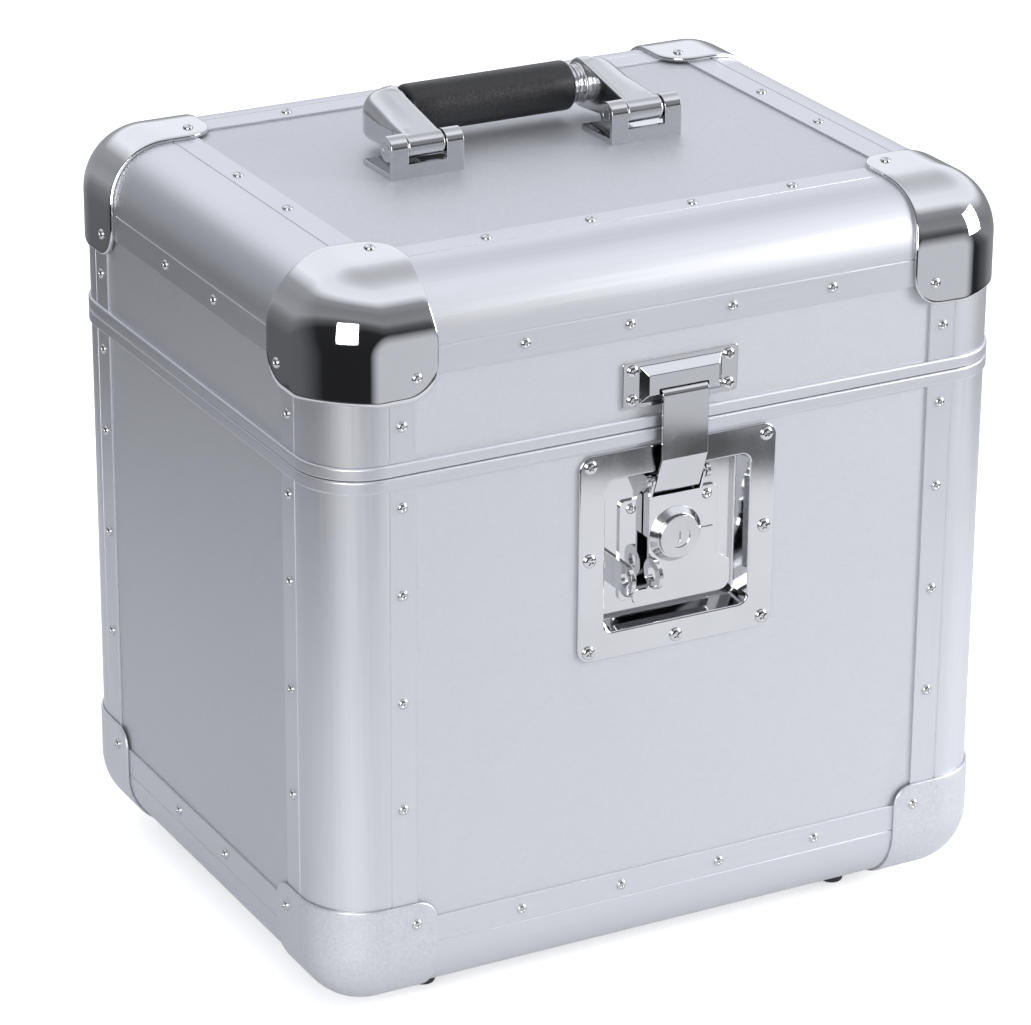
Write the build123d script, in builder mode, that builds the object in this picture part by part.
from build123d import *
import math
import os

os.makedirs("parts", exist_ok=True)

# A record carrying case: aluminium-faced panels held in rounded edge extrusions,
# ball corners, a tongue-and-groove closure band, a flip handle on the lid and a
# recessed draw latch with a key lock. Millimetres, +Z up, latch side towards -Y.

# ---------------------------------------------------------------- case body
case_width = 360.0
case_depth = 284.0
case_height = 359.0          # without the feet
lid_height = 90.0            # from the parting line to the top
foot_height = 8.5
foot_radius = 6.8
foot_taper = 8.0             # degrees
foot_inset = (66.0, 36.0)    # from the side and from the front or back

# Edge extrusion: a quarter-round shell with a slot for a panel on each side
edge_radius = 30.0
lip_reach = 45.0             # from the theoretical edge to the end of the outer lip
lip_thickness = 1.2
shell_thickness = 1.8
web_thickness = 1.6
inner_lip_reach = 40.0
inner_lip_thickness = 1.4
bead_offset = 1.2            # fine groove beside the rounded part
bead_width = 0.8
bead_depth = 0.4
panel_thickness = 7.0
liner_thickness = 4.0
liner_clearance = 0.5

# Closure band
rail_proud = 1.2             # how far the band stands out from the lips
body_rail_height = 6.5
lid_rail_height = 6.0
rail_chamfer = 0.7
parting_gap = 0.3
tongue_inset = 3.4           # from the lips' plane to the tongue
tongue_width = 2.4
tongue_height = 3.0
groove_clearance = 0.9
groove_depth = 3.5

# Corner caps
ball_cap_reach = 56.0
ball_cap_thickness = 2.0
ball_cap_lobe_radius = 15.0
ball_cap_waist = 50.0        # reach of the cap where it crosses a rounded edge
ball_cap_waist_radius = 49.0
foot_cap_reach = 55.0
foot_cap_thickness = 1.4
foot_cap_lobe_radius = 10.0
cap_seat_gap = 0.1
ball_cap_rivet_inset = 44.5
foot_cap_rivet_inset = 44.0

# Rivets and screws
rivet_radius = 2.6
rivet_height = 1.2
fastener_facets = 8
fastener_taper = 35.0        # degrees
rivet_inset = 38.0           # from the theoretical edge
rivet_pitch = 53.5
front_row_rivets = 4
side_row_rivets = 2
column_rivets = 3
lowest_body_rivet = 103.7    # above the underside
rail_rivet_drop = 9.0        # last body rivet, below the band
lid_rivet_rise = 17.0        # lid rivet, above the band
screw_radius = 3.3
screw_height = 1.5

# ---------------------------------------------------------------- latch
# A drop is measured down from the parting line, a rise up from it
dish_width = 104.0
dish_height = 103.0
dish_centre_drop = 60.2
dish_corner_radius = 7.0
dish_sheet = 1.5
recess_width = 77.0
recess_height = 76.0
recess_corner_radius = 5.0
recess_depth = 10.0
recess_draft = 13.0          # degrees
dish_screw_span = (93.0, 92.4)
window_clearance = 0.6

latch_sheet = 1.5
base_plate_size = (52.0, 50.0)
base_plate_drop = 38.0
base_plate_corner = 3.0
base_rivet_span = 40.5
base_rivet_drop = 4.2
base_ear_thickness = 2.4
base_ear_gap = 29.2          # between the two ears
base_ear_radius = 3.2
base_ear_root = (1.8, 9.0)   # above and below the pivot, where the ear leaves the plate
lever_pivot_drop = 27.0
lever_pivot_out = 6.4        # from the base plate's face
lever_pin_radius = 1.5
lever_eyelet_radius = 3.0
hook_pivot_drop = 4.6        # below the lever's pivot
hook_pivot_in = 2.0          # behind the lever's pivot, which makes it over-centre
hook_pin_radius = 1.2
hook_knuckle_radius = 3.0
latch_running_fit = 0.06

lever_gap = 4.8              # between the base plate and the lever's plate
lever_sheet = 1.4
lever_channel_width = 28.0
lever_top_drop = 35.8
lever_neck_drop = 56.0
lever_waist_drop = 62.0
lever_shoulder_drop = 74.5
lever_bottom_drop = 89.3
lever_waist_half_width = 20.5
lever_thumb_half_width = 29.6
lever_lobe_half_width = 22.0
lever_corner_radius = 5.0
lever_flange_gap = 0.8       # between the flange edges and the base plate

hook_width = 24.0
hook_sheet = 1.5
hook_stand_off = 5.0         # blade's middle, out from the lips' plane
hook_bend_drop = 15.0
hook_tip_rise = 18.4
hook_tip_bend = 2.75
hook_tip_depth = 4.4

eye_drop = 72.7              # padlock eyes
eye_out = 9.2                # from the base plate's face
eye_radius = 7.4
eye_hole_radius = 3.4
eye_thickness = 2.2
eye_lobe_gap = 1.0
lever_eye_offset = 12.8      # left of the middle
base_eye_offset = 27.3

lock_drop = 56.0
lock_collar_radius = 13.8
lock_collar_top_radius = 10.8
lock_collar_height = 3.2
lock_cap_radius = 10.2
lock_cap_thickness = 1.4
lock_cap_gap = 0.2
lock_disc_radius = 5.5
lock_disc_depth = 0.5
keyway_size = (1.4, 5.0)
keyway_depth = 0.8
lock_plug_radius = 6.0
lock_running_fit = 0.06
cam_reach = 11.5
cam_hub_radius = 5.0
cam_width = 5.0
cam_thickness = 1.2
cam_gap = 0.9                # between the cam and the base plate
strike_width = 10.0
strike_overlap = 3.0
strike_gap = 0.5
strike_sheet = 1.2

keeper_size = (60.4, 22.6)
keeper_rise = 10.6
keeper_sheet = 1.3
keeper_corner_radius = 1.5
keeper_bridge_base = (43.0, 18.0)
keeper_bridge_face = (37.0, 9.6)
keeper_bridge_rise = 21.6
keeper_face_rise = 21.9
keeper_bridge_height = 5.0
keeper_slot_above = 1.05      # from the middle of the hook's tip
keeper_slot_below = 1.8
keeper_slot_clearance = 1.0
keeper_screw_span = (50.4, 14.2)
keeper_screw_radius = 2.9

# ---------------------------------------------------------------- handle
handle_offset = -3.0         # the handle sits a little left of the middle
handle_pivot_y = -4.5
handle_pivot_rise = 12.5     # above the lid
bracket_pitch = 117.4
bracket_width = 38.0
bracket_slot = 20.0
bracket_sheet = 2.4
bracket_slot_floor = 5.5
bracket_foot_length = 30.0
bracket_curl_radius = 6.2
handle_pin_radius = 3.2
handle_running_fit = 0.08
arm_barrel_radius = 5.7
arm_side_gap = 0.6
arm_end_radius = 12.4
arm_outer_offset = 9.8       # outer side, from the bracket's middle
arm_inner_offset = 9.2       # inner side at the grip, from the bracket's middle
arm_corner_radius = 12.0     # seen from above, where the arm turns towards the grip
arm_outer_round = 4.0
arm_inner_round = 1.2
grip_reach = 44.8            # from the pivot to the grip's axis
grip_rise = 14.6             # grip's axis, above the lid
grip_radius = 12.2
grip_length = 88.0
grip_shift = -1.8            # the grip has slid this far along the handle
grip_end_chamfer = 1.2
ferrule_radius = 8.0
ferrule_ring_radius = 9.4
ferrule_ring_width = 1.6
ferrule_ring_pitch = 2.4

# ---------------------------------------------------------------- hinges
hinge_lip_gap = 10.0         # from the end of the corner's lip to the leaf
hinge_width = 60.0
hinge_leaf_height = 34.0
hinge_sheet = 1.6
hinge_knuckle_radius = 3.4
hinge_pin_radius = 1.8
hinge_running_fit = 0.06
hinge_band_gap = 0.4
hinge_knuckle_gap = 0.4
hinge_joggle = 6.0           # height of the slope from the band in to the wall
hinge_rivet_pitch = 21.0
hinge_rivet_drop = 24.0      # from the parting line to the rivet row

# ---------------------------------------------------------------- worked out
left, right = -case_width / 2, case_width / 2
front, back = -case_depth / 2, case_depth / 2
base_z = foot_height
top_z = base_z + case_height
part_z = top_z - lid_height
body_rim_z = part_z - parting_gap / 2
lid_rim_z = part_z + parting_gap / 2
body_panel_top = body_rim_z - body_rail_height
lid_panel_bottom = lid_rim_z + lid_rail_height
panel_edge = edge_radius + web_thickness
wall_depth = lip_thickness + panel_thickness + inner_lip_thickness

FRONT = Plane(origin=(0, front, 0), x_dir=(1, 0, 0), z_dir=(0, -1, 0))
BACK = Plane(origin=(0, back, 0), x_dir=(-1, 0, 0), z_dir=(0, 1, 0))
LEFT = Plane(origin=(left, 0, 0), x_dir=(0, -1, 0), z_dir=(-1, 0, 0))
RIGHT = Plane(origin=(right, 0, 0), x_dir=(0, 1, 0), z_dir=(1, 0, 0))
TOP = Plane.XY.offset(top_z)
BOTTOM = Plane(origin=(0, 0, base_z), x_dir=(1, 0, 0), z_dir=(0, 0, -1))
LOW = (Align.MIN, Align.MIN)


def save(piece, name):
    """Labels a finished piece and writes its STEP file."""
    piece.label = name
    export_step(piece, f"parts/{name}.step")


# ================================================================ edge extrusions
def edge_profile(plane, length):
    """Edge extrusion with the theoretical edge at the plane's origin and the walls
    along its X and Y."""
    outer = (0, edge_radius, lip_thickness, lip_reach - edge_radius)
    web = (0, edge_radius, wall_depth, web_thickness)
    inner = (wall_depth - inner_lip_thickness, edge_radius, inner_lip_thickness, inner_lip_reach - edge_radius)
    bead = (0, panel_edge - web_thickness + bead_offset, bead_depth, bead_width)
    with BuildPart() as profile:
        with BuildSketch(plane):
            with Locations((edge_radius, edge_radius)):
                Circle(edge_radius)
                Circle(edge_radius - shell_thickness, mode=Mode.SUBTRACT)
            Rectangle(edge_radius, edge_radius, align=LOW, mode=Mode.INTERSECT)
            for x, y, wide, high in (outer, web, inner):
                with Locations((x, y)):
                    Rectangle(wide, high, align=LOW)
                with Locations((y, x)):
                    Rectangle(high, wide, align=LOW)
            x, y, wide, high = bead
            with Locations((x, y)):
                Rectangle(wide, high, align=LOW, mode=Mode.SUBTRACT)
            with Locations((y, x)):
                Rectangle(high, wide, align=LOW, mode=Mode.SUBTRACT)
        extrude(amount=length)
    return profile.part


corners = {
    "front_left": (left, front, (1, 0, 0)),
    "front_right": (right, front, (0, 1, 0)),
    "back_right": (right, back, (-1, 0, 0)),
    "back_left": (left, back, (0, -1, 0)),
}


def upright_profile(corner, low, high):
    """Upright edge extrusion in one corner."""
    x, y, x_dir = corners[corner]
    return edge_profile(Plane(origin=(x, y, low), x_dir=x_dir, z_dir=(0, 0, 1)), high - low)


for corner in corners:
    with BuildPart() as corner_profile:
        add(upright_profile(corner, base_z + lip_reach, body_panel_top))
    save(corner_profile.part, f"body_corner_profile_{corner}")

with BuildPart() as lid_corner_profiles:
    for corner in corners:
        add(upright_profile(corner, lid_panel_bottom, top_z - lip_reach))
save(lid_corner_profiles.part, "lid_corner_profiles")

run_x = case_width - 2 * lip_reach
run_y = case_depth - 2 * lip_reach
along_x, along_y = (1, 0, 0), (0, 1, 0)
level_edges = {
    "body_bottom_profile_front": ((left + lip_reach, front, base_z), (0, 1, 0), along_x, run_x),
    "body_bottom_profile_back": ((left + lip_reach, back, base_z), (0, 0, 1), along_x, run_x),
    "body_bottom_profile_left": ((left, front + lip_reach, base_z), (0, 0, 1), along_y, run_y),
    "body_bottom_profile_right": ((right, front + lip_reach, base_z), (-1, 0, 0), along_y, run_y),
    "lid_top_profile_front": ((left + lip_reach, front, top_z), (0, 0, -1), along_x, run_x),
    "lid_top_profile_back": ((left + lip_reach, back, top_z), (0, -1, 0), along_x, run_x),
    "lid_top_profile_left": ((left, front + lip_reach, top_z), (1, 0, 0), along_y, run_y),
    "lid_top_profile_right": ((right, front + lip_reach, top_z), (0, 0, -1), along_y, run_y),
}
for name, (start, x_dir, z_dir, length) in level_edges.items():
    with BuildPart() as level_profile:
        add(edge_profile(Plane(origin=start, x_dir=x_dir, z_dir=z_dir), length))
    save(level_profile.part, name)

# ================================================================ panels
panel_width = case_width - 2 * panel_edge
panel_depth = case_depth - 2 * panel_edge
body_panel_low = base_z + panel_edge
lid_panel_high = top_z - panel_edge


def wall_panel(plane, width, low, high):
    """Upright panel in the slots of the extrusions, its face behind the lips."""
    with BuildPart() as panel:
        with BuildSketch(plane.offset(-lip_thickness)):
            with Locations((0, (low + high) / 2)):
                Rectangle(width, high - low)
        extrude(amount=-panel_thickness)
    return panel.part


def flat_panel(plane):
    """Top or bottom panel, its face behind the lips."""
    with BuildPart() as panel:
        with BuildSketch(plane.offset(-lip_thickness)):
            Rectangle(panel_width, panel_depth)
        extrude(amount=-panel_thickness)
    return panel.part


dish_centre_z = part_z - dish_centre_drop
window_width = recess_width + 2 * (dish_sheet + window_clearance)
window_height = recess_height + 2 * (dish_sheet + window_clearance)
with BuildPart() as body_front_panel:
    add(wall_panel(FRONT, panel_width, body_panel_low, body_panel_top))
    with BuildSketch(FRONT):
        with Locations((0, dish_centre_z)):
            RectangleRounded(window_width, window_height, recess_corner_radius + dish_sheet)
    extrude(amount=-(lip_thickness + panel_thickness), mode=Mode.SUBTRACT)
save(body_front_panel.part, "body_front_panel")

wall_planes = {"back": (BACK, panel_width), "left": (LEFT, panel_depth), "right": (RIGHT, panel_depth)}
for side, (plane, width) in wall_planes.items():
    with BuildPart() as body_panel:
        add(wall_panel(plane, width, body_panel_low, body_panel_top))
    save(body_panel.part, f"body_{side}_panel")

wall_planes["front"] = (FRONT, panel_width)
for side, (plane, width) in wall_planes.items():
    with BuildPart() as lid_panel:
        add(wall_panel(plane, width, lid_panel_bottom, lid_panel_high))
    save(lid_panel.part, f"lid_{side}_panel")

with BuildPart() as body_bottom_panel:
    add(flat_panel(BOTTOM))
save(body_bottom_panel.part, "body_bottom_panel")

with BuildPart() as lid_top_panel:
    add(flat_panel(TOP))
save(lid_top_panel.part, "lid_top_panel")

# Thin liners on the floor and under the top, where the records and their tops rest
liner_width = case_width - 2 * (inner_lip_reach + liner_clearance)
liner_depth = case_depth - 2 * (inner_lip_reach + liner_clearance)
skin_depth = lip_thickness + panel_thickness
with BuildPart() as floor_liner:
    with BuildSketch(Plane.XY.offset(base_z + skin_depth)):
        Rectangle(liner_width, liner_depth)
    extrude(amount=liner_thickness)
save(floor_liner.part, "floor_liner")

with BuildPart() as lid_liner:
    with BuildSketch(Plane.XY.offset(top_z - skin_depth)):
        Rectangle(liner_width, liner_depth)
    extrude(amount=-liner_thickness)
save(lid_liner.part, "lid_liner")


# ================================================================ closure band
def band_outline(inset, mode=Mode.ADD):
    """Rounded rectangle that follows the case at an inset from the lips' plane."""
    RectangleRounded(case_width - 2 * inset, case_depth - 2 * inset, edge_radius - inset, mode=mode)


with BuildPart() as body_closure_rail:
    with BuildSketch(Plane.XY.offset(body_panel_top)):
        band_outline(-rail_proud)
    extrude(amount=body_rail_height)
    outer_rims = body_closure_rail.edges().filter_by(Plane.XY)
    chamfer(outer_rims, rail_chamfer)
    with BuildSketch(Plane.XY.offset(body_panel_top)):
        band_outline(wall_depth)
    extrude(amount=body_rail_height, mode=Mode.SUBTRACT)
    with BuildSketch(Plane.XY.offset(body_rim_z)):
        band_outline(tongue_inset)
        band_outline(tongue_inset + tongue_width, Mode.SUBTRACT)
    extrude(amount=tongue_height)
save(body_closure_rail.part, "body_closure_rail")

with BuildPart() as lid_closure_rail:
    with BuildSketch(Plane.XY.offset(lid_rim_z)):
        band_outline(-rail_proud)
    extrude(amount=lid_rail_height)
    outer_rims = lid_closure_rail.edges().filter_by(Plane.XY)
    chamfer(outer_rims, rail_chamfer)
    with BuildSketch(Plane.XY.offset(lid_rim_z)):
        band_outline(wall_depth)
    extrude(amount=lid_rail_height, mode=Mode.SUBTRACT)
    with BuildSketch(Plane.XY.offset(lid_rim_z)):
        band_outline(tongue_inset - groove_clearance)
        band_outline(tongue_inset + tongue_width + groove_clearance, Mode.SUBTRACT)
    extrude(amount=groove_depth, mode=Mode.SUBTRACT)
save(lid_closure_rail.part, "lid_closure_rail")


# ================================================================ corner caps
def corner_block(proud, reach):
    """Corner of the rounded case, grown by proud, reaching inwards from the corner."""
    with BuildPart() as block:
        with Locations((-proud, -proud, -proud)):
            Box(reach + proud, reach + proud, reach + proud, align=(Align.MIN, Align.MIN, Align.MIN))
        at_corner = block.edges().filter_by(
            lambda edge: sum(abs(c + proud) < 1e-6 for c in tuple(edge.center())) == 2)
        fillet(at_corner, edge_radius + proud)
    return block.part


def corner_cap(reach, thickness, lobe_radius, waist=None):
    """Three-lobed cap for the front left bottom corner, at the origin."""
    with BuildPart() as cap:
        add(corner_block(thickness, reach))
        add(corner_block(cap_seat_gap, reach + thickness), mode=Mode.SUBTRACT)
        for plane in (Plane.XY, Plane.XZ, Plane.YZ):
            with BuildSketch(plane) as lobe:
                side = reach + thickness
                with Locations((-thickness, -thickness)):
                    Rectangle(side, side, align=LOW)
                fillet(lobe.vertices().group_by(Axis.X)[-1].sort_by(Axis.Y)[-1:], lobe_radius)
            extrude(amount=side, both=True, mode=Mode.INTERSECT)
        if waist:
            far = waist + ball_cap_waist_radius
            for origin, outward in (((far, 0, 0), (0, -1, -1)), ((0, far, 0), (-1, 0, -1)), ((0, 0, far), (-1, -1, 0))):
                with BuildSketch(Plane(origin=origin, z_dir=outward)):
                    Circle(ball_cap_waist_radius)
                extrude(amount=edge_radius, both=True, mode=Mode.SUBTRACT)
    return cap.part


def in_corner(piece, corner, level):
    """Mirrors a front left bottom piece into any corner and moves it there."""
    x, y, _ = corners[corner]
    if x > 0:
        piece = mirror(piece, about=Plane.YZ, mode=Mode.PRIVATE)
    if y > 0:
        piece = mirror(piece, about=Plane.XZ, mode=Mode.PRIVATE)
    if level == top_z:
        piece = mirror(piece, about=Plane.XY, mode=Mode.PRIVATE)
    return Pos(x, y, level) * piece


ball_cap = corner_cap(ball_cap_reach, ball_cap_thickness, ball_cap_lobe_radius, ball_cap_waist)
foot_cap = corner_cap(foot_cap_reach, foot_cap_thickness, foot_cap_lobe_radius)
for corner in corners:
    with BuildPart() as lid_corner_cap:
        add(in_corner(ball_cap, corner, top_z))
    save(lid_corner_cap.part, f"lid_corner_cap_{corner}")
    with BuildPart() as bottom_corner_cap:
        add(in_corner(foot_cap, corner, base_z))
    save(bottom_corner_cap.part, f"bottom_corner_cap_{corner}")


# ================================================================ rivets and screws
def heads(plane, points, radius=rivet_radius, height=rivet_height):
    """Low fastener heads that sit on a plane, faceted to stay light."""
    with BuildPart() as fasteners:
        with BuildSketch(plane):
            with Locations(*points):
                RegularPolygon(radius, fastener_facets)
        extrude(amount=height, taper=fastener_taper)
    return fasteners.part


def row(count, pitch):
    """Places along one line, centred on zero."""
    return [(i - (count - 1) / 2) * pitch for i in range(count)]


def pairs(a, b):
    """The four places at plus and minus a, plus and minus b."""
    return [(a, b), (-a, b), (a, -b), (-a, -b)]


column_x = case_width / 2 - rivet_inset
column_y = case_depth / 2 - rivet_inset
across_x = row(front_row_rivets, rivet_pitch)
across_y = row(side_row_rivets, rivet_pitch)
body_heights = [base_z + lowest_body_rivet + i * rivet_pitch for i in range(column_rivets)]
body_heights.append(body_panel_top - rail_rivet_drop)
lid_rivet_z = lid_panel_bottom + lid_rivet_rise
walls = ((FRONT, column_x, across_x), (BACK, column_x, across_x), (LEFT, column_y, across_y),
         (RIGHT, column_y, across_y))


def cap_place(plane, inset):
    """Distance of a wall's cap rivets from its middle."""
    half = case_width / 2 if plane in (FRONT, BACK) else case_depth / 2
    return half - inset


hinge_offset = case_width / 2 - lip_reach - hinge_lip_gap - hinge_width / 2
hinge_low_z = part_z - hinge_rivet_drop
hinge_high_z = part_z + hinge_rivet_drop
hinge_rivet_x = [side * hinge_offset + x for side in (-1, 1) for x in row(3, hinge_rivet_pitch)]
leaf_face = BACK.offset(hinge_sheet - lip_thickness)

with BuildPart() as body_rivets:
    for plane, column, across in walls:
        points = [(side * column, z) for side in (-1, 1) for z in body_heights]
        points += [(x, base_z + rivet_inset) for x in across]
        add(heads(plane, points))
        place = cap_place(plane, foot_cap_rivet_inset)
        cap_points = [(x, base_z + foot_cap_rivet_inset) for x in (-place, place)]
        add(heads(plane.offset(foot_cap_thickness), cap_points))
    add(heads(BOTTOM, [(x, y) for x in across_x for y in (-column_y, column_y)]))
    add(heads(BOTTOM, [(x, y) for x in (-column_x, column_x) for y in across_y]))
    cap_points = pairs(case_width / 2 - foot_cap_rivet_inset, case_depth / 2 - foot_cap_rivet_inset)
    add(heads(BOTTOM.offset(foot_cap_thickness), cap_points))
    add(heads(leaf_face, [(x, hinge_low_z) for x in hinge_rivet_x]))
save(body_rivets.part, "body_rivets")

with BuildPart() as lid_rivets:
    for plane, column, across in walls:
        points = [(-column, lid_rivet_z), (column, lid_rivet_z)]
        points += [(x, top_z - rivet_inset) for x in across]
        add(heads(plane, points))
        place = cap_place(plane, ball_cap_rivet_inset)
        cap_points = [(x, top_z - ball_cap_rivet_inset) for x in (-place, place)]
        add(heads(plane.offset(ball_cap_thickness), cap_points))
    add(heads(TOP, [(x, y) for x in across_x for y in (-column_y, column_y)]))
    add(heads(TOP, [(x, y) for x in (-column_x, column_x) for y in across_y]))
    cap_points = pairs(case_width / 2 - ball_cap_rivet_inset, case_depth / 2 - ball_cap_rivet_inset)
    add(heads(TOP.offset(ball_cap_thickness), cap_points))
    add(heads(leaf_face, [(x, hinge_high_z) for x in hinge_rivet_x]))
save(lid_rivets.part, "lid_rivets")

with BuildPart() as feet:
    with BuildSketch(BOTTOM):
        with Locations(*pairs(case_width / 2 - foot_inset[0], case_depth / 2 - foot_inset[1])):
            Circle(foot_radius)
    extrude(amount=foot_height, taper=foot_taper)
save(feet.part, "feet")

# ================================================================ latch: dish and base
panel_front = FRONT.offset(-lip_thickness)
dish_front = panel_front.offset(dish_sheet)
recess_floor = dish_front.offset(-recess_depth)
with BuildPart() as latch_dish:
    with BuildSketch(panel_front):
        with Locations((0, dish_centre_z)):
            RectangleRounded(dish_width, dish_height, dish_corner_radius)
    extrude(amount=dish_sheet)
    with BuildSketch(dish_front):
        with Locations((0, dish_centre_z)):
            RectangleRounded(recess_width + 2 * dish_sheet, recess_height + 2 * dish_sheet,
                             recess_corner_radius + dish_sheet)
    extrude(amount=-(recess_depth + dish_sheet), taper=recess_draft)
    with BuildSketch(dish_front):
        with Locations((0, dish_centre_z)):
            RectangleRounded(recess_width, recess_height, recess_corner_radius)
    extrude(amount=-recess_depth, taper=recess_draft, mode=Mode.SUBTRACT)
save(latch_dish.part, "latch_dish")

screw_x, screw_z = dish_screw_span[0] / 2, dish_screw_span[1] / 2
dish_screw_places = [(x, dish_centre_z + z) for x in (-screw_x, screw_x) for z in (-screw_z, 0, screw_z)]
dish_screw_places.append((0, dish_centre_z - screw_z))
with BuildPart() as latch_dish_screws:
    add(heads(dish_front, dish_screw_places, screw_radius, screw_height))
save(latch_dish_screws.part, "latch_dish_screws")

base_face = recess_floor.offset(latch_sheet)
base_face_y = base_face.origin.Y
base_top_z = part_z - base_plate_drop
base_bottom_z = base_top_z - base_plate_size[1]
lever_pivot_z = part_z - lever_pivot_drop
lever_pivot_y = base_face_y - lever_pivot_out
hook_pivot_z = lever_pivot_z - hook_pivot_drop
hook_pivot_y = lever_pivot_y + hook_pivot_in
eye_z = part_z - eye_drop
eye_y = base_face_y - eye_out
lock_z = part_z - lock_drop
ear_root_top = lever_pivot_z + base_ear_root[0]
ear_root_bottom = lever_pivot_z - base_ear_root[1]


def side_plane(x):
    """Plane across the case at x, with local X towards the back and local Y up."""
    return Plane(origin=(x, 0, 0), x_dir=(0, 1, 0), z_dir=(1, 0, 0))


ear_half_span = base_ear_gap / 2
cam_front_y = base_face_y - cam_gap - cam_thickness
strike_lip_y = cam_front_y - strike_gap
strike_stem_z = lock_z - cam_reach - strike_gap
with BuildPart() as latch_base:
    with BuildSketch(recess_floor):
        with Locations((0, (base_top_z + base_bottom_z) / 2)):
            RectangleRounded(base_plate_size[0], base_plate_size[1], base_plate_corner)
        with Locations((0, (ear_root_top + lock_z) / 2)):
            Rectangle(base_ear_gap + 2 * base_ear_thickness, ear_root_top - lock_z)
        with Locations((0, eye_z)):
            Rectangle(base_eye_offset + eye_thickness / 2, 2 * eye_radius, align=(Align.MAX, Align.CENTER))
    extrude(amount=latch_sheet)
    for start in (-ear_half_span - base_ear_thickness, ear_half_span):
        with BuildSketch(side_plane(start)):
            with BuildLine():
                Polyline((base_face_y, ear_root_top), (lever_pivot_y, lever_pivot_z + base_ear_radius),
                         (lever_pivot_y, lever_pivot_z - base_ear_radius), (base_face_y, ear_root_bottom),
                         (base_face_y, ear_root_top))
            make_face()
            with Locations((lever_pivot_y, lever_pivot_z)):
                Circle(base_ear_radius)
                Circle(lever_pin_radius, mode=Mode.SUBTRACT)
        extrude(amount=base_ear_thickness)
    with BuildSketch(side_plane(-base_eye_offset - eye_thickness / 2)):
        with Locations((eye_y, eye_z)):
            Circle(eye_radius)
            Rectangle(eye_out + latch_sheet, 2 * eye_radius, align=(Align.MIN, Align.CENTER))
            Circle(eye_hole_radius, mode=Mode.SUBTRACT)
    extrude(amount=eye_thickness)
    with BuildSketch(side_plane(-strike_width / 2)):
        with Locations((strike_lip_y - strike_sheet, strike_stem_z - strike_sheet)):
            Rectangle(base_face_y - strike_lip_y + strike_sheet, strike_sheet, align=LOW)
            Rectangle(strike_sheet, strike_sheet + strike_gap + strike_overlap, align=LOW)
    extrude(amount=strike_width)
save(latch_base.part, "latch_base")

with BuildPart() as latch_base_rivets:
    base_rivet_z = base_top_z - base_rivet_drop
    add(heads(base_face, [(x, base_rivet_z) for x in (-base_rivet_span / 2, base_rivet_span / 2)]))
save(latch_base_rivets.part, "latch_base_rivets")

channel_half = lever_channel_width / 2
channel_inner = channel_half - lever_sheet
pivot_pin_length = ear_half_span + base_ear_thickness - channel_inner
with BuildPart() as latch_pivot_pins:
    for start in (-channel_inner - pivot_pin_length, channel_inner):
        with BuildSketch(side_plane(start)):
            with Locations((lever_pivot_y, lever_pivot_z)):
                Circle(lever_pin_radius)
        extrude(amount=pivot_pin_length)
save(latch_pivot_pins.part, "latch_pivot_pins")

# ================================================================ latch: lever and lock
lever_back = base_face.offset(lever_gap)
lever_front = lever_back.offset(lever_sheet)
lever_front_y = lever_front.origin.Y
lever_low_z = part_z - lever_bottom_drop
lever_top_z = part_z - lever_top_drop
neck_z = part_z - lever_neck_drop
flange_edge_y = base_face_y - lever_flange_gap
waist_point = (lever_waist_half_width, part_z - lever_waist_drop)
shoulder_point = (lever_thumb_half_width, part_z - lever_shoulder_drop)
lobe_top_z = eye_z - eye_radius - eye_lobe_gap


def lever_outline():
    """Lever plate: narrow channel above, thumb plate below, cut back for the base's eye."""
    with BuildSketch() as outline:
        with BuildLine():
            Polyline((-channel_half, lobe_top_z), (-channel_half, lever_top_z), (channel_half, lever_top_z),
                     (channel_half, neck_z), (lever_waist_half_width, neck_z), waist_point)
            Spline(waist_point, shoulder_point, tangents=((0, -1), (1, -0.6)))
            Polyline(shoulder_point, (lever_thumb_half_width, lever_low_z), (-lever_lobe_half_width, lever_low_z),
                     (-lever_lobe_half_width, lobe_top_z), (-channel_half, lobe_top_z))
        make_face()
    return outline.sketch


with BuildPart() as latch_lever:
    with BuildSketch(lever_back) as plate:
        add(lever_outline())
        fillet(plate.vertices().group_by(Axis.Y)[0], lever_corner_radius)
        with Locations((0, lock_z)):
            Circle(lock_plug_radius + lock_running_fit, mode=Mode.SUBTRACT)
    extrude(amount=lever_sheet)
    for start in (-channel_half, channel_inner):
        with BuildSketch(side_plane(start)):
            with BuildLine():
                Polyline((lever_front_y, neck_z), (flange_edge_y, neck_z),
                         (flange_edge_y, hook_pivot_z - hook_knuckle_radius),
                         (lever_pivot_y + lever_eyelet_radius, lever_pivot_z),
                         (lever_pivot_y - lever_eyelet_radius, lever_pivot_z),
                         (lever_front_y, lever_top_z), (lever_front_y, neck_z))
            make_face()
            with Locations((lever_pivot_y, lever_pivot_z)):
                Circle(lever_eyelet_radius)
                Circle(lever_pin_radius + latch_running_fit, mode=Mode.SUBTRACT)
            with Locations((hook_pivot_y, hook_pivot_z)):
                Circle(hook_knuckle_radius)
                Circle(hook_pin_radius, mode=Mode.SUBTRACT)
        extrude(amount=lever_sheet)
    with BuildSketch(side_plane(-lever_eye_offset - eye_thickness / 2)):
        with Locations((eye_y, eye_z)):
            Circle(eye_radius)
            Circle(eye_hole_radius, mode=Mode.SUBTRACT)
    extrude(amount=eye_thickness)
save(latch_lever.part, "latch_lever")

with BuildPart() as latch_hook_pin:
    with BuildSketch(side_plane(-channel_half)):
        with Locations((hook_pivot_y, hook_pivot_z)):
            Circle(hook_pin_radius)
    extrude(amount=lever_channel_width)
save(latch_hook_pin.part, "latch_hook_pin")

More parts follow.
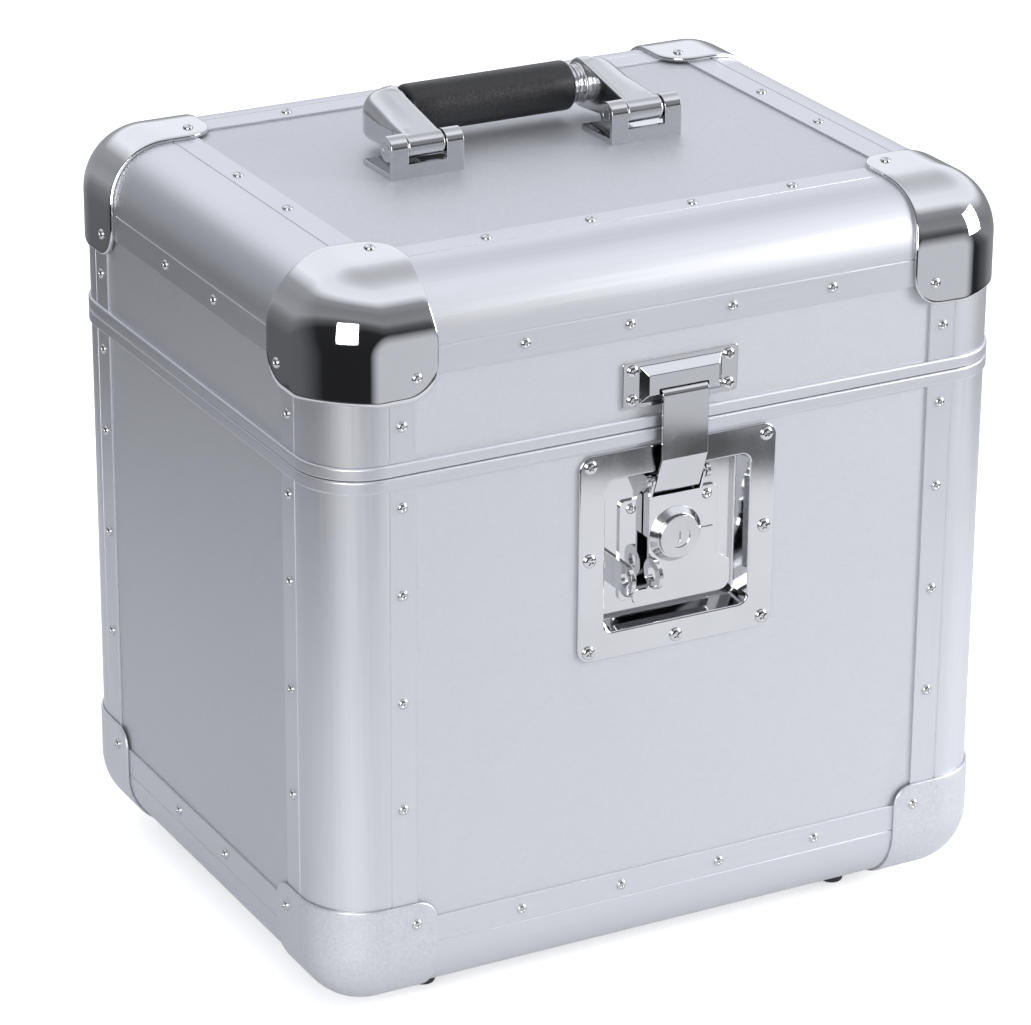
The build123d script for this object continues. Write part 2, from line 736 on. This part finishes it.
collar_taper = math.degrees(math.atan((lock_collar_radius - lock_collar_top_radius) / lock_collar_height))
with BuildPart() as lock_collar:
    with BuildSketch(lever_front):
        with Locations((0, lock_z)):
            Circle(lock_collar_radius)
    extrude(amount=lock_collar_height, taper=collar_taper)
    with BuildSketch(lever_front):
        with Locations((0, lock_z)):
            Circle(lock_plug_radius + lock_running_fit)
    extrude(amount=lock_collar_height, mode=Mode.SUBTRACT)
save(lock_collar.part, "lock_collar")

cap_back = lever_front.offset(lock_collar_height + lock_cap_gap)
cap_front = cap_back.offset(lock_cap_thickness)
cam_back = base_face.offset(cam_gap)
with BuildPart() as lock_plug:
    with BuildSketch(cap_back):
        with Locations((0, lock_z)):
            Circle(lock_cap_radius)
    extrude(amount=lock_cap_thickness)
    with BuildSketch(cap_front):
        with Locations((0, lock_z)):
            Circle(lock_disc_radius)
    extrude(amount=-lock_disc_depth, mode=Mode.SUBTRACT)
    with BuildSketch(cap_front):
        with Locations((0, lock_z)):
            Rectangle(*keyway_size)
    extrude(amount=-(lock_disc_depth + keyway_depth), mode=Mode.SUBTRACT)
    with BuildSketch(cap_back):
        with Locations((0, lock_z)):
            Circle(lock_plug_radius)
    extrude(amount=-(cam_front_y - cap_back.origin.Y))
    with BuildSketch(cam_back):
        with Locations((0, lock_z)):
            Circle(cam_hub_radius)
        with Locations((-cam_reach / 2, lock_z)):
            Rectangle(cam_reach, cam_width)
    extrude(amount=cam_thickness)
save(lock_plug.part, "lock_plug")

# ================================================================ latch: hook blade and keeper
blade_y = front - hook_stand_off
bend_z = part_z - hook_bend_drop
tip_z = part_z + hook_tip_rise
strap_radius = hook_knuckle_radius - hook_sheet / 2
bend_distance = math.hypot(blade_y - hook_pivot_y, bend_z - hook_pivot_z)
bend_direction = math.degrees(math.atan2(bend_z - hook_pivot_z, blade_y - hook_pivot_y))
strap_start = bend_direction + math.degrees(math.acos(strap_radius / bend_distance))


def round_point(centre, radius, angle):
    """Point of a circle in the side plane, the angle in degrees from the back."""
    turn = math.radians(angle)
    return (centre[0] + radius * math.cos(turn), centre[1] + radius * math.sin(turn))


with BuildPart() as latch_hook:
    with BuildSketch(side_plane(-hook_width / 2)):
        with BuildLine() as spine:
            strap = Polyline(round_point((hook_pivot_y, hook_pivot_z), strap_radius, strap_start),
                             (blade_y, bend_z), (blade_y, tip_z - hook_tip_bend))
            tip = RadiusArc(strap @ 1, (blade_y + hook_tip_bend, tip_z), hook_tip_bend)
            Line(tip @ 1, (blade_y + hook_tip_depth, tip_z))
            offset(amount=hook_sheet / 2, side=Side.BOTH, closed=True, mode=Mode.REPLACE)
        make_face()
        with Locations((hook_pivot_y, hook_pivot_z)):
            Circle(hook_knuckle_radius)
            Circle(hook_pin_radius + latch_running_fit, mode=Mode.SUBTRACT)
    extrude(amount=hook_width)
save(latch_hook.part, "latch_hook")

keeper_z = part_z + keeper_rise + keeper_size[1] / 2
keeper_face = panel_front.offset(keeper_sheet)
bridge_front = panel_front.offset(keeper_bridge_height)
bridge_inner = bridge_front.offset(-keeper_sheet)
with BuildPart() as keeper:
    with BuildSketch(panel_front):
        with Locations((0, keeper_z)):
            RectangleRounded(keeper_size[0], keeper_size[1], keeper_corner_radius)
    extrude(amount=keeper_sheet)
    with BuildSketch(keeper_face):
        with Locations((0, part_z + keeper_bridge_rise)):
            Rectangle(*keeper_bridge_base)
    with BuildSketch(bridge_front):
        with Locations((0, part_z + keeper_face_rise)):
            Rectangle(*keeper_bridge_face)
    loft()
    with BuildSketch(panel_front):
        with Locations((0, part_z + keeper_bridge_rise)):
            Rectangle(keeper_bridge_base[0] - 2 * keeper_sheet, keeper_bridge_base[1] - 2 * keeper_sheet)
    with BuildSketch(bridge_inner):
        with Locations((0, part_z + keeper_face_rise)):
            Rectangle(keeper_bridge_face[0] - keeper_sheet, keeper_bridge_face[1] - keeper_sheet)
    loft(mode=Mode.SUBTRACT)
    with BuildSketch(bridge_front):
        with Locations((0, tip_z + (keeper_slot_above - keeper_slot_below) / 2)):
            Rectangle(hook_width + 2 * keeper_slot_clearance, keeper_slot_above + keeper_slot_below)
    extrude(amount=-2 * keeper_sheet, mode=Mode.SUBTRACT)
save(keeper.part, "keeper")

keeper_screw_x, keeper_screw_z = keeper_screw_span[0] / 2, keeper_screw_span[1] / 2
with BuildPart() as keeper_screws:
    keeper_screw_places = [(x, keeper_z + z) for x, z in pairs(keeper_screw_x, keeper_screw_z)]
    add(heads(keeper_face, keeper_screw_places, keeper_screw_radius, screw_height))
save(keeper_screws.part, "keeper_screws")

# ================================================================ handle
handle_pivot_z = top_z + handle_pivot_rise
lid_face_z = top_z - lip_thickness
bracket_front_y = handle_pivot_y - bracket_curl_radius
bracket_x = {"left": handle_offset - bracket_pitch / 2, "right": handle_offset + bracket_pitch / 2}
for side, x in bracket_x.items():
    with BuildPart() as handle_bracket:
        with BuildSketch(side_plane(x - bracket_width / 2)):
            with Locations((bracket_front_y, lid_face_z)):
                Rectangle(bracket_foot_length, bracket_sheet, align=LOW)
                Rectangle(bracket_sheet, handle_pivot_z - lid_face_z, align=LOW)
            with Locations((handle_pivot_y, handle_pivot_z)):
                Circle(bracket_curl_radius)
                Circle(handle_pin_radius, mode=Mode.SUBTRACT)
        extrude(amount=bracket_width)
        with BuildSketch(side_plane(x - bracket_slot / 2)):
            with Locations((bracket_front_y, top_z + bracket_slot_floor)):
                Rectangle(2 * bracket_curl_radius, 2 * handle_pivot_rise, align=LOW)
        extrude(amount=bracket_slot, mode=Mode.SUBTRACT)
    save(handle_bracket.part, f"handle_bracket_{side}")

with BuildPart() as handle_pins:
    for x in bracket_x.values():
        with BuildSketch(side_plane(x - bracket_width / 2)):
            with Locations((handle_pivot_y, handle_pivot_z)):
                Circle(handle_pin_radius)
        extrude(amount=bracket_width)
save(handle_pins.part, "handle_pins")

grip_y = handle_pivot_y + grip_reach
grip_z = top_z + grip_rise
link_angle = math.degrees(math.atan2(grip_z - handle_pivot_z, grip_reach))
link_length = math.hypot(grip_reach, grip_z - handle_pivot_z)
flank_angle = math.degrees(math.asin((arm_end_radius - arm_barrel_radius) / link_length))


def arm_outline():
    """Side view of an arm: the barrel and the grip end joined by their tangents."""
    barrel, end = (handle_pivot_y, handle_pivot_z), (grip_y, grip_z)
    upper = 90 + link_angle + flank_angle
    lower = -90 + link_angle - flank_angle
    with BuildSketch() as outline:
        with BuildLine():
            Polyline(round_point(barrel, arm_barrel_radius, upper), round_point(end, arm_end_radius, upper),
                     end, round_point(end, arm_end_radius, lower), round_point(barrel, arm_barrel_radius, lower),
                     barrel, round_point(barrel, arm_barrel_radius, upper))
        make_face()
        with Locations(end):
            Circle(arm_end_radius)
    return outline.sketch


arm_barrel_half = bracket_slot / 2 - arm_side_gap
for side, inward in (("left", 1), ("right", -1)):
    x = bracket_x[side]
    outer_x = x - inward * arm_outer_offset
    inner_x = x + inward * arm_inner_offset
    grip_end_x = handle_offset + grip_shift - inward * grip_length / 2
    with BuildPart() as handle_arm:
        with BuildSketch(side_plane(min(outer_x, inner_x))):
            add(arm_outline())
        extrude(amount=abs(inner_x - outer_x))
        with BuildSketch(Plane.XY.offset(top_z)) as plan:
            with Locations(((outer_x + inner_x) / 2, handle_pivot_y - arm_barrel_radius)):
                Rectangle(abs(inner_x - outer_x), arm_barrel_radius + grip_reach + arm_end_radius,
                          align=(Align.CENTER, Align.MIN))
            back_corners = plan.vertices().group_by(Axis.Y)[-1].sort_by(Axis.X)
            fillet(back_corners[::inward][:1], arm_corner_radius)
        extrude(amount=3 * grip_rise, mode=Mode.INTERSECT)
        long_rims = handle_arm.edges().filter_by(lambda edge: edge.length > arm_end_radius)
        outer_rims = long_rims.filter_by(lambda edge: (x - edge.center().X) * inward > arm_outer_round / 2)
        fillet(outer_rims.filter_by(Axis.Z, reverse=True), arm_outer_round)
        flat_rims = handle_arm.edges().filter_by(Plane.YZ).group_by(Axis.X)[::inward][-1]
        fillet(flat_rims.filter_by(lambda edge: edge.length > arm_end_radius), arm_inner_round)
        with BuildSketch(Plane.XY.offset(top_z)):
            with Locations((x, handle_pivot_y - arm_barrel_radius)):
                Rectangle(bracket_width, 3 * arm_barrel_radius, align=(Align.CENTER, Align.MIN))
                Rectangle(2 * arm_barrel_half, 3 * arm_barrel_radius, align=(Align.CENTER, Align.MIN),
                          mode=Mode.SUBTRACT)
        extrude(amount=3 * grip_rise, mode=Mode.SUBTRACT)
        with BuildSketch(side_plane(x - arm_barrel_half)):
            with Locations((handle_pivot_y, handle_pivot_z)):
                Circle(arm_barrel_radius)
        extrude(amount=2 * arm_barrel_half)
        with BuildSketch(side_plane(x - bracket_width / 2)):
            with Locations((handle_pivot_y, handle_pivot_z)):
                Circle(handle_pin_radius + handle_running_fit)
        extrude(amount=bracket_width, mode=Mode.SUBTRACT)
        with BuildSketch(side_plane(min(inner_x, grip_end_x))):
            with Locations((grip_y, grip_z)):
                Circle(ferrule_radius)
        extrude(amount=abs(grip_end_x - inner_x))
        for i in range(int(abs(grip_end_x - inner_x) / ferrule_ring_pitch)):
            ring_x = grip_end_x - inward * (i + 0.5) * ferrule_ring_pitch
            with BuildSketch(side_plane(ring_x - ferrule_ring_width / 2)):
                with Locations((grip_y, grip_z)):
                    Circle(ferrule_ring_radius)
            extrude(amount=ferrule_ring_width)
    save(handle_arm.part, f"handle_arm_{side}")

with BuildPart() as handle_grip:
    with BuildSketch(side_plane(handle_offset + grip_shift - grip_length / 2)):
        with Locations((grip_y, grip_z)):
            Circle(grip_radius)
    extrude(amount=grip_length)
    chamfer(handle_grip.edges().filter_by(GeomType.CIRCLE), grip_end_chamfer)
save(handle_grip.part, "handle_grip")

# ================================================================ lid hinges
hinge_axis_y = back + rail_proud + hinge_band_gap + hinge_knuckle_radius
leaf_seat_y = back - lip_thickness
knuckle_third = hinge_width / 3


def hinge_leaf(x, up):
    """Hinge leaf: a plate on the wall, joggled over the band to its knuckles."""
    rim_z = part_z + up * (lid_rail_height + hinge_band_gap)
    joggle_z = rim_z + up * hinge_joggle
    middle_y = hinge_axis_y - hinge_knuckle_radius + hinge_sheet / 2
    with BuildPart() as leaf:
        with BuildSketch(side_plane(x - hinge_width / 2)):
            with BuildLine():
                Polyline((middle_y, part_z), (middle_y, rim_z), (leaf_seat_y + hinge_sheet / 2, joggle_z),
                         (leaf_seat_y + hinge_sheet / 2, part_z + up * hinge_leaf_height))
                offset(amount=hinge_sheet / 2, side=Side.BOTH, closed=True, mode=Mode.REPLACE)
            make_face()
            with Locations((hinge_axis_y, part_z)):
                Circle(hinge_knuckle_radius)
        extrude(amount=hinge_width)
        gap = knuckle_third + hinge_knuckle_gap
        gap_places = (x,) if up < 0 else (x - knuckle_third, x + knuckle_third)
        with Locations(*[(place, hinge_axis_y, part_z) for place in gap_places]):
            Cylinder(hinge_knuckle_radius + hinge_knuckle_gap, gap, rotation=(0, 90, 0), mode=Mode.SUBTRACT)
        with Locations((x, hinge_axis_y, part_z)):
            bore = hinge_pin_radius + (hinge_running_fit if up > 0 else 0)
            Cylinder(bore, hinge_width, rotation=(0, 90, 0), mode=Mode.SUBTRACT)
    return leaf.part


with BuildPart() as hinge_body_leaves:
    for x in (-hinge_offset, hinge_offset):
        add(hinge_leaf(x, -1))
save(hinge_body_leaves.part, "hinge_body_leaves")

with BuildPart() as hinge_lid_leaves:
    for x in (-hinge_offset, hinge_offset):
        add(hinge_leaf(x, 1))
save(hinge_lid_leaves.part, "hinge_lid_leaves")

with BuildPart() as hinge_pins:
    for x in (-hinge_offset, hinge_offset):
        with BuildSketch(side_plane(x - hinge_width / 2)):
            with Locations((hinge_axis_y, part_z)):
                Circle(hinge_pin_radius)
        extrude(amount=hinge_width)
save(hinge_pins.part, "hinge_pins")
